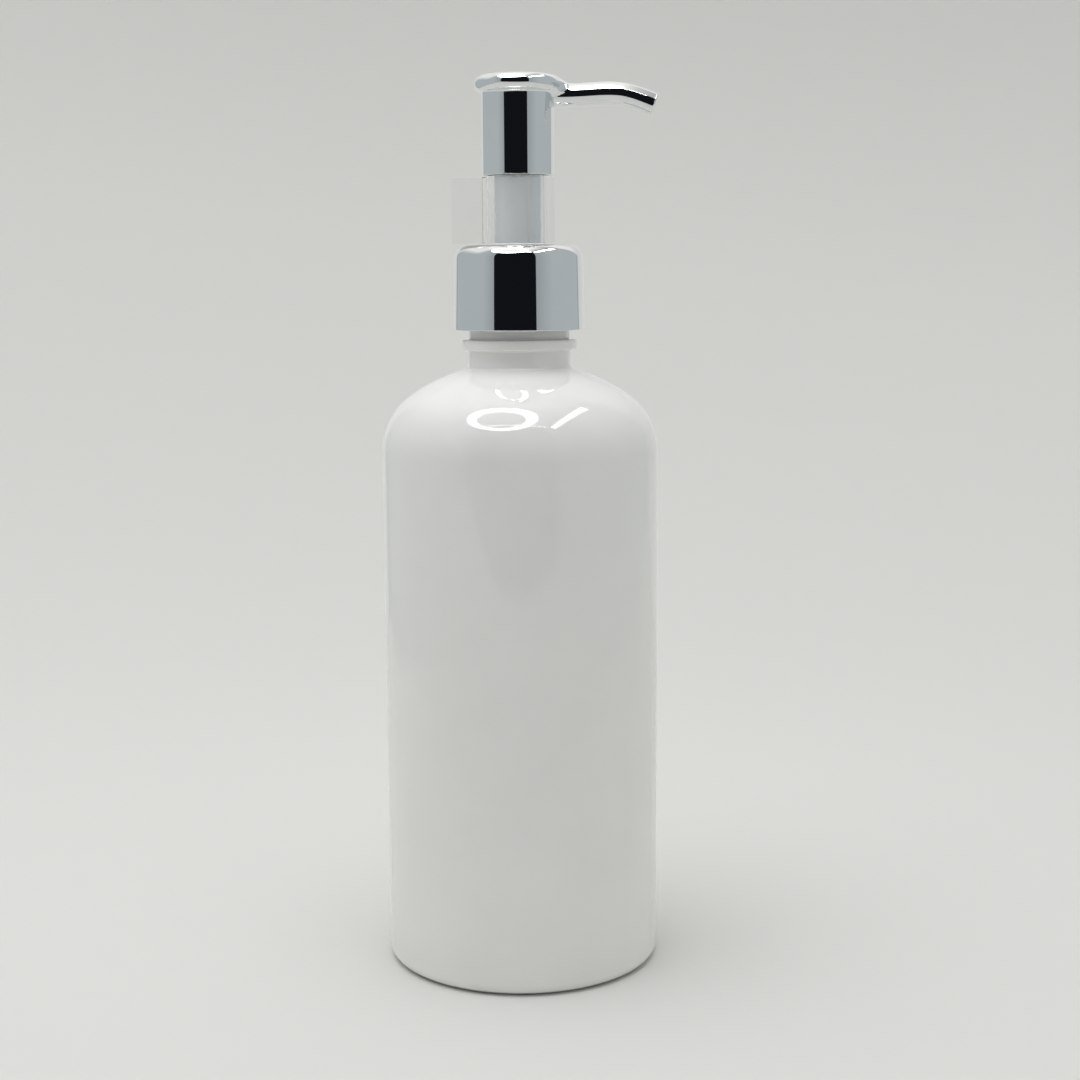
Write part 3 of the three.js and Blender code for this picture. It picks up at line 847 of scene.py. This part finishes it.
INNER_NODES = {
    "actuator_insert": (WHITE_PLASTIC, "white_plastic"),
    "piston_rod": (WHITE_PLASTIC, "white_plastic"),
    "piston": (NATURAL_PLASTIC, "natural_plastic"),
    "pump_housing": (NATURAL_PLASTIC, "natural_plastic"),
    "ball_retainer": (NATURAL_PLASTIC, "natural_plastic"),
    "dip_tube": (NATURAL_PLASTIC, "natural_plastic"),
    "inlet_ball": (SPRING_STEEL, "spring_steel"),
    "neck_gasket": (FOAM, "foam_liner"),
}
for node, (material, slot) in INNER_NODES.items():
    keep_node(node, material)


# ---- the studio ----

def stage_mesh(name, vertices, faces, material, smooth=False):
    """A mesh of the studio, from vertices in metres."""
    mesh = bpy.data.meshes.new(name)
    mesh.from_pydata(vertices, [], faces)
    if smooth:
        mesh.shade_smooth()
    mesh.materials.append(material)
    made = bpy.data.objects.new(name, mesh)
    bpy.context.scene.collection.objects.link(made)
    return made


def reflected(name, vertices, faces, material):
    """A stage mesh that only the gloss sees."""
    made = stage_mesh(name, vertices, faces, material)
    seen_only_by(made, glossy=True)


def seen_only_by(obj, glossy=False, diffuse=False):
    """Hides a mesh from the camera and from all rays but the ones named."""
    obj.visible_camera = False
    obj.visible_transmission = False
    obj.visible_shadow = False
    obj.visible_volume_scatter = False
    obj.visible_glossy = glossy
    obj.visible_diffuse = diffuse


def glow(name, color, strength=1):
    """An emission material."""
    made = bpy.data.materials.new(name)
    made.use_nodes = True
    tree = made.node_tree
    tree.nodes.clear()
    emission = tree.nodes.new("ShaderNodeEmission")
    emission.inputs["Color"].default_value = (*color, 1)
    emission.inputs["Strength"].default_value = strength
    output = tree.nodes.new("ShaderNodeOutputMaterial")
    tree.links.new(emission.outputs[0], output.inputs["Surface"])
    return made


def math_node(tree, operation, first, second):
    """An arithmetic node on two sockets or numbers."""
    node = tree.nodes.new("ShaderNodeMath")
    node.operation = operation
    for socket, value in zip(node.inputs, (first, second)):
        if isinstance(value, (int, float)):
            socket.default_value = value
        else:
            tree.links.new(value, socket)
    return node.outputs[0]


def places(tree):
    """The object's own X, Y and Z."""
    place = tree.nodes.new("ShaderNodeTexCoord")
    split = tree.nodes.new("ShaderNodeSeparateXYZ")
    tree.links.new(place.outputs["Object"], split.inputs["Vector"])
    return split.outputs["X"], split.outputs["Y"], split.outputs["Z"]


def wall_glow(name, low_color):
    """Duller towards the front, and brighter high up, most of all at the back and on the left."""
    made = glow(name, low_color)
    tree = made.node_tree
    x, y, z = places(tree)
    back = math_node(tree, "SUBTRACT", y, math_node(tree, "MULTIPLY", x, WALL_RISE_LEAN))
    backward = spread(tree, back, (0, 1), WALL_RISE_BACK)
    upward = spread(tree, z, (0, 1), WALL_RISE_HEIGHT)
    rise = math_node(tree, "MULTIPLY", backward, upward)
    emission = tree.nodes["Emission"]
    tree.links.new(tint(tree, rise, low_color, HIGH_GLOW), emission.inputs["Color"])
    strength = spread(tree, y, WALL_STRENGTH, WALL_FADE)
    tree.links.new(strength, emission.inputs["Strength"])
    return made


def ceiling_glow():
    """Duller on the right."""
    made = glow("ceiling", CEILING_GLOW)
    tree = made.node_tree
    x, _, _ = places(tree)
    strength = spread(tree, x, CEILING_STRENGTH, CEILING_FADE)
    tree.links.new(strength, tree.nodes["Emission"].inputs["Strength"])
    return made


def make_card(name, left, right, low, high, material):
    """A flat upright card between two places seen from above, seen by the gloss only."""
    vertices = [(*left, low), (*right, low), (*right, high), (*left, high)]
    reflected(name, vertices, [(0, 1, 2, 3)], material)


def make_seam(name, corner, material):
    """A dull strip across a back corner of the tent."""
    inward = -Vector(corner).normalized()
    side = Vector((-inward.y, inward.x)) * SEAM_HALF
    middle = Vector(corner) + inward * SEAM_HALF
    make_card(name, tuple(middle - side), tuple(middle + side), 0, SEAM_HEIGHT, material)


def make_tent():
    """What the gloss sees: the tent's walls and ceiling, and the dark room through its opening."""
    front_left, front_right = TENT_FRONT_LEFT, TENT_FRONT_RIGHT
    back_left, back_right = TENT_BACK_LEFT, TENT_BACK_RIGHT
    side_wall, back_wall = wall_glow("tent_side", SIDE_GLOW), wall_glow("tent_back", BACK_GLOW)
    make_card("tent_left", front_left, back_left, 0, TENT_HEIGHT, side_wall)
    make_card("tent_back", back_left, back_right, 0, TENT_HEIGHT, back_wall)
    make_card("tent_right", back_right, front_right, 0, TENT_HEIGHT, side_wall)
    make_card("tent_lintel", front_left, front_right, OPENING_HEIGHT, TENT_HEIGHT, side_wall)
    make_card("opening", front_left, front_right, 0, OPENING_HEIGHT, glow("dark_room", ROOM_GLOW))
    seam = glow("seam", SEAM_GLOW)
    make_seam("seam_left", back_left, seam)
    make_seam("seam_right", back_right, seam)
    corners = [(*c, TENT_HEIGHT) for c in (front_left, front_right, back_right, back_left)]
    reflected("tent_ceiling", corners, [(0, 1, 2, 3)], ceiling_glow())


def make_ring_lamp(centre, outer, inner, material, sides=96):
    """A flat ring overhead."""
    vertices = []
    for radius in (inner, outer):
        for i in range(sides):
            x, y = on_circle(centre, radius, 360 * i / sides)
            vertices.append((x, y, LAMP_HEIGHT))
    faces = []
    for i in range(sides):
        j = (i + 1) % sides
        faces.append((i, j, sides + j, sides + i))
    reflected("ring_lamp", vertices, faces, material)


def make_bar_lamp(name, start, stop, width, material):
    """A flat lamp between two places seen from above, just under the ring's height."""
    start, stop = Vector(start), Vector(stop)
    along = (stop - start).normalized()
    side = Vector((-along.y, along.x)) * width / 2
    corners = (start - side, stop - side, stop + side, start + side)
    vertices = [(*c, LAMP_HEIGHT - LAMP_GAP) for c in corners]
    reflected(name, vertices, [(0, 1, 2, 3)], material)


def make_dim_front():
    """The dark side of the room, as the matt surfaces see it."""
    left, right = TENT_FRONT_LEFT, TENT_FRONT_RIGHT
    vertices = [(*left, 0), (*right, 0), (*right, OPENING_HEIGHT), (*left, OPENING_HEIGHT)]
    dim = glow("dim_room", (1, 1, 1), DIM_FRONT_STRENGTH)
    card = stage_mesh("dim_front", vertices, [(0, 1, 2, 3)], dim)
    seen_only_by(card, diffuse=True)


def make_paper_with_painted_shade():
    """Matt paper whose colour darkens with height and to the right: painted shade."""
    made, tree, principled = shader("paper", Roughness=0.9, Specular_IOR_Level=0.0)
    x, _, z = places(tree)
    # Painted shade: the paper's colour goes darker up the wall and towards the right, where less
    # light falls.
    height = math_node(tree, "ADD", z, math_node(tree, "MULTIPLY", x, PAPER_SHADE_LEAN))
    color = tint(tree, spread(tree, height, (0, 1), PAPER_SHADE_FADE), PAPER_LOW, PAPER_HIGH_SHADED)
    tree.links.new(color, principled.inputs["Base Color"])
    return made


def make_sweep(sides=128):
    """A paper floor that curves up into a wall all round."""
    outline = [(r, -SWEEP_DROP) for r in np.linspace(SWEEP_MIDDLE, SWEEP_FLAT, 6)]
    outline += arc((SWEEP_FLAT, SWEEP_BEND - SWEEP_DROP), SWEEP_BEND, -90, 0, 24)[1:]
    outline.append((SWEEP_FLAT + SWEEP_BEND, SWEEP_HEIGHT))
    vertices = [(0, 0, -SWEEP_DROP)]
    for r, z in outline:
        for i in range(sides):
            x, y = on_circle((0, 0), r, 360 * i / sides)
            vertices.append((x, y, z))
    faces = [(0, 1 + i, 1 + (i + 1) % sides) for i in range(sides)]
    for k in range(len(outline) - 1):
        low, high = 1 + k * sides, 1 + (k + 1) * sides
        for i in range(sides):
            j = (i + 1) % sides
            faces.append((low + i, high + i, high + j, low + j))
    stage_mesh("sweep", vertices, faces, make_paper_with_painted_shade(), smooth=True)


def area_light(name, place, size, power):
    """A round soft lamp that looks at the middle of the floor, and that the gloss doesn't see."""
    data = bpy.data.lights.new(name, "AREA")
    data.shape = "DISK"
    data.size = size
    data.energy = power
    lamp = bpy.data.objects.new(name, data)
    lamp.location = place
    lamp.rotation_mode = "QUATERNION"
    lamp.rotation_quaternion = (-Vector(place)).to_track_quat("-Z", "Y")
    lamp.visible_glossy = False
    bpy.context.scene.collection.objects.link(lamp)


def set_world():
    """Even light from all round."""
    world = bpy.data.worlds.new("studio")
    world.use_nodes = True
    background = world.node_tree.nodes["Background"]
    background.inputs["Color"].default_value = (*WORLD_COLOR, 1)
    background.inputs["Strength"].default_value = WORLD_STRENGTH
    bpy.context.scene.world = world


def set_camera():
    camera = bpy.data.objects.new("camera", bpy.data.cameras.new("camera"))
    camera.data.sensor_width = CAMERA_SENSOR
    camera.data.lens = CAMERA_LENS
    camera.data.clip_start = 0.01
    pitch = Matrix.Rotation(math.pi / 2 - CAMERA_PITCH, 4, "X")
    roll = Matrix.Rotation(CAMERA_ROLL, 4, "Z")
    camera.matrix_world = Matrix.Translation(Vector(CAMERA_PLACE) * MM) @ (pitch @ roll)
    bpy.context.scene.collection.objects.link(camera)
    bpy.context.scene.camera = camera
    bpy.context.scene.view_settings.view_transform = "Standard"


lamp_white = glow("lamp_white", (1, 1, 1), LAMP_STRENGTH)

make_sweep()
make_tent()
make_dim_front()
make_ring_lamp(RING_CENTRE, RING_OUTER, RING_INNER, lamp_white)
make_bar_lamp("bar_lamp", BAR_START, BAR_STOP, BAR_WIDTH, lamp_white)
make_bar_lamp("strip_lamp", STRIP_START, STRIP_STOP, STRIP_WIDTH, lamp_white)
area_light("overhead", OVERHEAD_PLACE, OVERHEAD_SIZE, OVERHEAD_POWER)
area_light("near", NEAR_PLACE, NEAR_SIZE, NEAR_POWER)
set_world()
set_camera()
